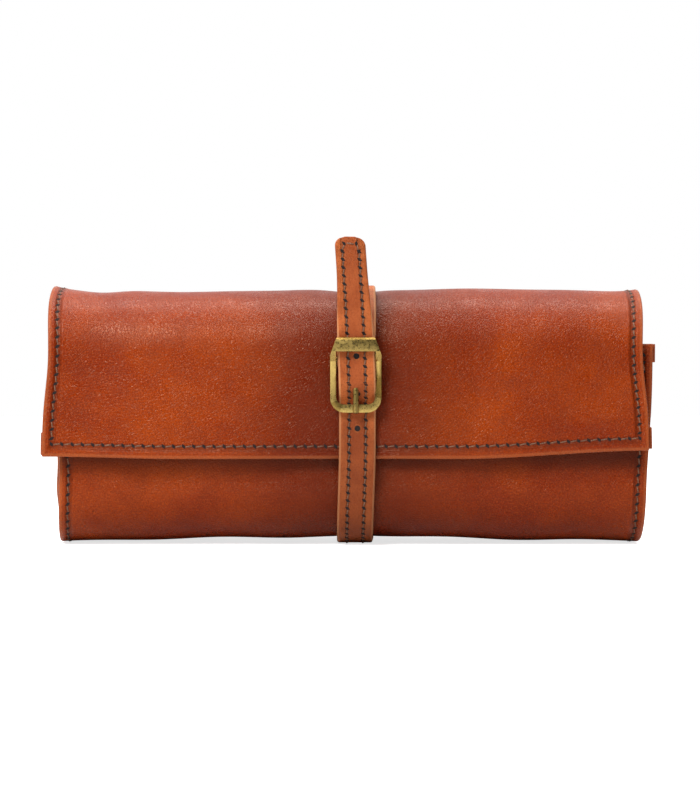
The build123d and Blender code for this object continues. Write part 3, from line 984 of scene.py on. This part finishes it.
def build_billet_tip(stop):
    """The free end above the buckle, with its rounded tip and a seam that turns there."""
    strap = band("billet_tip_leather", on_billet, billet_sides, stop, BILLET_END, 0.6 * MM, 17,
                 -BILLET / 2, BILLET / 2, STRAPS, (False, True))
    left, right = strap_rows(stop - STRAP_PITCH, BILLET_END - 7.5 * MM)
    top = BILLET_END - 3.6 * MM
    corner = STRAP_ROW - 1.2 * MM
    over = [left[-1], (-corner, top), (corner, top), right[-1]]
    seams = stitching("billet_tip_stitches", [left, right, over], billet_face, -1.0, THREAD_AND_HOLE_SHADE)
    pieces = ((strap, "strap_leather", "billet_end"), (seams, "thread", "billet_end_stitching"))
    for piece, slot, node in pieces:
        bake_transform(piece)
        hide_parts(node)


def build_billet():
    stop = height_along(BEND_Z)
    build_lower_billet(stop)
    build_billet_tip(stop)
    for letter, k in zip("abc", (-1, 0, 1)):
        punched_hole("strap_hole_" + letter, PRONG_HOLE_Z + k * HOLE_PITCH, "front")


# -------------------------------------------------------------------- the buckle
def build_buckle():
    """The solid parts in antique brass, with their edges rounded as a casting's are."""
    widths = {"buckle_frame": 0.7, "buckle_center_bar": 0.15, "buckle_prong": 0.35}
    for node, width in widths.items():
        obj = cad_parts[node]
        obj.data.materials.clear()
        obj.data.materials.append(BRASS)
        weld = obj.modifiers.new("weld", "WELD")
        weld.merge_threshold = 0.01 * MM
        bevel = obj.modifiers.new("bevel", "BEVEL")
        bevel.width = width * MM
        bevel.segments = 3
        bevel.limit_method = "ANGLE"
        bevel.angle_limit = math.radians(28)
        bevel.harden_normals = False
        for polygon in obj.data.polygons:
            polygon.use_smooth = True


# ------------------------------------------------------------- room, light, camera
def floor_paper():
    """White paper that keeps only the soft shadow close to the case."""
    n = Nodes("floor_paper")
    speck = n.noise(n.object, 3.0)
    tone = n.mix(n.ramp(speck, 0.3, 0.7), (0.75, 0.75, 0.75), (0.74, 0.74, 0.74))
    n.put(n.shader.inputs["Emission Color"], (1.0, 1.0, 1.0, 1.0))
    path = n.tree.nodes.new("ShaderNodeLightPath")
    n.put(n.shader.inputs["Emission Strength"], n.math("MULTIPLY", path.outputs["Is Camera Ray"], 0.72))
    return n.finish(tone, 0.9, n.bump(speck, 0.0001, 0.1))


def build_room():
    bpy.ops.mesh.primitive_plane_add(size=12.0, location=(0.0, 0.0, 0.0))
    floor = bpy.context.object
    floor.name = "floor"
    floor.data.materials.append(floor_paper())


def area_light(name, place, aim, size, power):
    data = bpy.data.lights.new(name, "AREA")
    data.shape = "RECTANGLE"
    data.size = size[0]
    data.size_y = size[1]
    data.energy = power
    lamp = bpy.data.objects.new(name, data)
    bpy.context.scene.collection.objects.link(lamp)
    lamp.location = place
    point_at(lamp, aim)


def point_at(obj, aim):
    direction = Vector(aim) - Vector(obj.location)
    obj.rotation_euler = direction.to_track_quat("-Z", "Y").to_euler()


def build_light():
    """A white room, bright above and behind the case and dim in front of it."""
    world = bpy.data.worlds.new("studio")
    bpy.context.scene.world = world
    world.use_nodes = True
    tree = world.node_tree
    back = tree.nodes["Background"]
    back.inputs[0].default_value = (1.0, 1.0, 1.0, 1.0)
    coord = tree.nodes.new("ShaderNodeTexCoord")
    tilt = tree.nodes.new("ShaderNodeVectorMath")
    tilt.operation = "DOT_PRODUCT"
    tilt.inputs[1].default_value = (-0.15, 0.45, 0.85)
    tree.links.new(coord.outputs["Generated"], tilt.inputs[0])
    shade = tree.nodes.new("ShaderNodeMapRange")
    shade.interpolation_type = "SMOOTHSTEP"
    for key, value in (("From Min", -0.3), ("From Max", 0.9), ("To Min", 0.10), ("To Max", 0.95)):
        shade.inputs[key].default_value = value
    tree.links.new(tilt.outputs["Value"], shade.inputs["Value"])
    seen = tree.nodes.new("ShaderNodeLightPath")
    strength = tree.nodes.new("ShaderNodeMath")
    strength.operation = "MAXIMUM"
    tree.links.new(shade.outputs["Result"], strength.inputs[0])
    tree.links.new(seen.outputs["Is Camera Ray"], strength.inputs[1])
    tree.links.new(strength.outputs[0], back.inputs[1])
    area_light("key", (-0.45, -0.75, 0.85), (0.0, 0.0, 0.06), (0.5, 0.4), 13.0)
    area_light("top", (0.0, 0.15, 1.1), (0.0, 0.0, 0.1), (1.2, 0.35), 11.5)


def build_view():
    settings = bpy.context.scene.view_settings
    settings.view_transform = "Standard"
    settings.look = "None"
    settings.exposure = 0.0


def build_camera():
    data = bpy.data.cameras.new("camera")
    data.sensor_fit = "HORIZONTAL"
    data.sensor_width = 36.0
    data.lens = 76.2
    data.clip_end = 50.0
    camera = bpy.data.objects.new("camera", data)
    bpy.context.scene.collection.objects.link(camera)
    camera.location = (2.3 * MM, -0.846, 80.0 * MM)
    camera.rotation_euler = (math.radians(90), 0.0, 0.0)
    bpy.context.scene.camera = camera


build_sheet()
build_edge_stitching()
build_facings()
build_pockets()
build_round_strap()
build_buckle_strap()
build_billet()
build_buckle()
build_room()
build_light()
build_view()
build_camera()
